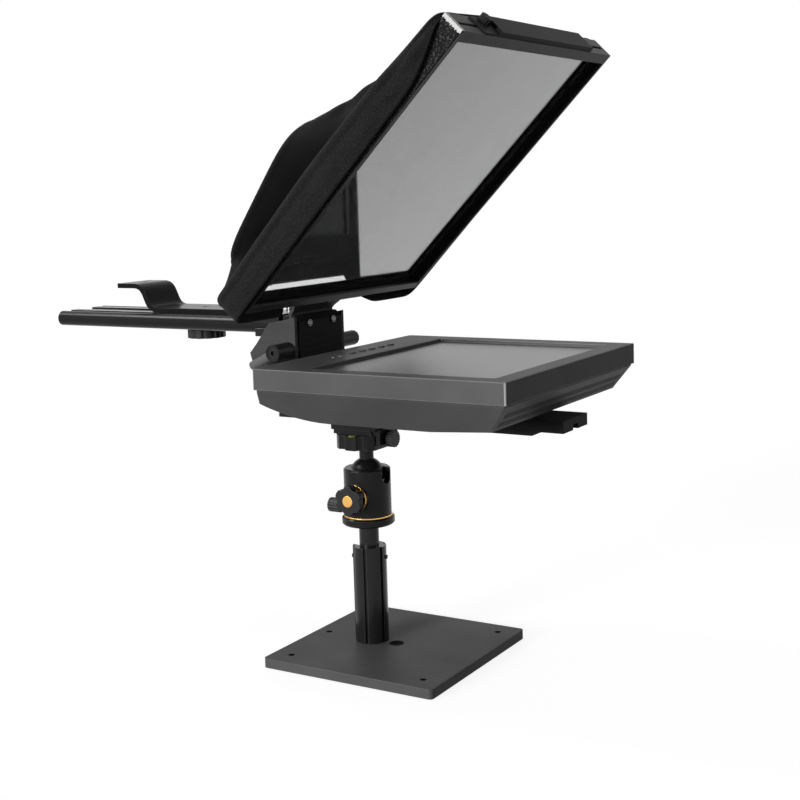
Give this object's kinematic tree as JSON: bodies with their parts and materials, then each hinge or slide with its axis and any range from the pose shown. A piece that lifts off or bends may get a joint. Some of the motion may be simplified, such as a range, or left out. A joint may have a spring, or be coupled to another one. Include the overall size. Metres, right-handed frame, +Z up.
{
  "type": "teleprompter",
  "caption": "Desktop teleprompter: a square base and ball head carry a face-up monitor, a tilting part-mirror glass with a cloth hood, and rods with a camera sled.",
  "frame": {"origin": "centre of the base pad's underside, on the desk", "axes": "+Z up, -Y towards the person who reads, +Y towards the camera, -X the side with the lever and the lock knob"},
  "size_m": [0.2922, 0.5705, 0.5752],
  "materials": {
    "powder_coat": "dark grey fine-textured powder coat",
    "pad_rubber": "black rubber sheet",
    "black_anodised": "black anodised, fine satin",
    "head_black": "gloss black paint on aluminium",
    "brass_trim": "polished brass",
    "knob_black": "black moulded knob",
    "screw_steel": "bright steel",
    "black_screw": "blackened steel",
    "seat_plastic": "white bearing plastic",
    "level_green": "clear green level",
    "monitor_grey": "dark grey fine-grained plastic",
    "button_grey": "grey plastic",
    "screen": "anti-glare screen",
    "board_green": "circuit board",
    "satin_grey": "satin grey anodised plate",
    "lever_grey": "grey painted lever",
    "frame_grey": "dark grey painted aluminium",
    "felt": "black felt",
    "part_mirror": "part-mirror coated glass",
    "gasket_rubber": "black foam rubber",
    "hood_cloth": "black stretch cloth"
  },
  "bodies": {
    "base": {"base_plate": "powder_coat", "base_pad": "pad_rubber", "column_tube": "black_anodised", "column_screws": "screw_steel", "column_set_screws": "black_screw"},
    "post": {"inner_post": "black_anodised", "pan_flange": "head_black", "flange_ring": "brass_trim"},
    "head": {"ball_housing": "head_black", "ball_seat": "seat_plastic", "lock_ring": "brass_trim"},
    "ball": {"head_ball": "head_black"},
    "upper": {"ball_stem": "head_black", "clamp_body": "head_black", "bubble_level": "level_green", "qr_plate": "head_black", "rail_plate": "black_anodised", "base_rail": "black_anodised", "mount_screws": "screw_steel", "vesa_plate": "black_anodised", "monitor_shell": "monitor_grey", "monitor_bezel": "monitor_grey", "lcd_panel": "screen", "control_board": "board_green", "hinge_foot": "black_anodised", "cheek_plates": "satin_grey", "frame_screws": "screw_steel", "hinge_bolt": "black_screw", "hinge_washers": "black_screw", "rod_block": "black_anodised", "rods": "black_anodised", "rod_screws": "black_screw", "slide_plate": "black_anodised"},
    "lock": {"lock_knob": "knob_black", "lock_knob_cap": "brass_trim"},
    "pan_lock": {"pan_knob": "knob_black"},
    "jaw": {"clamp_jaw": "head_black"},
    "jaw_knob": {"clamp_knob": "knob_black"},
    "glass": {"tilt_block": "black_anodised", "block_screws": "screw_steel", "glass_bracket": "satin_grey", "side_rails": "frame_grey", "top_rail": "frame_grey", "bottom_rail": "frame_grey", "felt_lining": "felt", "beamsplitter_glass": "part_mirror", "glass_gasket": "gasket_rubber", "top_retainer": "frame_grey", "loop_strips": "felt", "hood": "hood_cloth"},
    "lever": {"clamp_lever": "lever_grey"},
    "hinge_nut": {"hinge_knob": "knob_black"},
    "retainer_thumb": {"retainer_screw": "knob_black"},
    "sled": {"camera_sled": "black_anodised"},
    "sled_thumb": {"sled_knob": "knob_black"},
    "button_1": {"button_1": "button_grey"},
    "button_2": {"button_2": "button_grey"},
    "button_3": {"button_3": "button_grey"},
    "button_4": {"button_4": "button_grey"},
    "button_5": {"button_5": "button_grey"}
  },
  "joints": [
    {"name": "post_slide", "type": "slide", "parent": "base", "child": "post", "axis": [0, 0, 1], "range_m": [-0.01, 0.055]},
    {"name": "head_pan", "type": "hinge", "parent": "post", "child": "head", "pos_m": [0, 0.027, 0.1335], "axis": [0, 0, 1], "continuous": true},
    {"name": "head_tilt", "type": "hinge", "parent": "head", "child": "ball", "pos_m": [0, 0.027, 0.17165], "axis": [1, 0, 0], "range_deg": [-25, 25]},
    {"name": "head_roll", "type": "hinge", "parent": "ball", "child": "upper", "pos_m": [0, 0.027, 0.17165], "axis": [0, 1, 0], "range_deg": [-25, 25]},
    {"name": "lock_knob_turn", "type": "hinge", "parent": "head", "child": "lock", "pos_m": [-0.033, 0.027, 0.15225], "axis": [-1, 0, 0], "range_deg": [-90, 180]},
    {"name": "pan_knob_turn", "type": "hinge", "parent": "head", "child": "pan_lock", "pos_m": [0, 0.06, 0.13825], "axis": [0, 1, 0], "range_deg": [-90, 270]},
    {"name": "jaw_slide", "type": "slide", "parent": "upper", "child": "jaw", "axis": [0, -1, 0], "range_m": [0, 0.0025]},
    {"name": "clamp_knob_turn", "type": "hinge", "parent": "jaw", "child": "jaw_knob", "pos_m": [0, -0.003, 0.20755], "axis": [0, -1, 0], "range_deg": [0, 720]},
    {"name": "glass_tilt", "type": "hinge", "parent": "upper", "child": "glass", "pos_m": [0, 0.083, 0.29205], "axis": [1, 0, 0], "range_deg": [0, 45]},
    {"name": "lever_turn", "type": "hinge", "parent": "upper", "child": "lever", "pos_m": [-0.054, 0.083, 0.29205], "axis": [1, 0, 0], "range_deg": [0, 85]},
    {"name": "hinge_knob_turn", "type": "hinge", "parent": "upper", "child": "hinge_nut", "pos_m": [0.055, 0.083, 0.29205], "axis": [1, 0, 0], "range_deg": [0, 360]},
    {"name": "retainer_screw_turn", "type": "hinge", "parent": "glass", "child": "retainer_thumb", "pos_m": [-0.09, -0.15441, 0.56658], "axis": [0, -0.7071, 0.7071], "range_deg": [0, 720]},
    {"name": "sled_slide", "type": "slide", "parent": "upper", "child": "sled", "axis": [0, 1, 0], "range_m": [-0.02, 0.07]},
    {"name": "sled_knob_turn", "type": "hinge", "parent": "sled", "child": "sled_thumb", "pos_m": [0, 0.2135, 0.3], "axis": [0, 0, 1], "range_deg": [0, 360]},
    {"name": "button_1_press", "type": "slide", "parent": "upper", "child": "button_1", "axis": [0, 0, -1], "range_m": [0, 0.0008], "stiffness_N_per_m": 800, "springref_m": -0.0005},
    {"name": "button_2_press", "type": "slide", "parent": "upper", "child": "button_2", "axis": [0, 0, -1], "range_m": [0, 0.0008], "stiffness_N_per_m": 800, "springref_m": -0.0005},
    {"name": "button_3_press", "type": "slide", "parent": "upper", "child": "button_3", "axis": [0, 0, -1], "range_m": [0, 0.0008], "stiffness_N_per_m": 800, "springref_m": -0.0005},
    {"name": "button_4_press", "type": "slide", "parent": "upper", "child": "button_4", "axis": [0, 0, -1], "range_m": [0, 0.0008], "stiffness_N_per_m": 800, "springref_m": -0.0005},
    {"name": "button_5_press", "type": "slide", "parent": "upper", "child": "button_5", "axis": [0, 0, -1], "range_m": [0, 0.0008], "stiffness_N_per_m": 800, "springref_m": -0.0005}
  ],
  "couplings": [
    {"joint": "clamp_knob_turn", "follows": "jaw_slide", "rad_per_m": 5026.5}
  ]
}
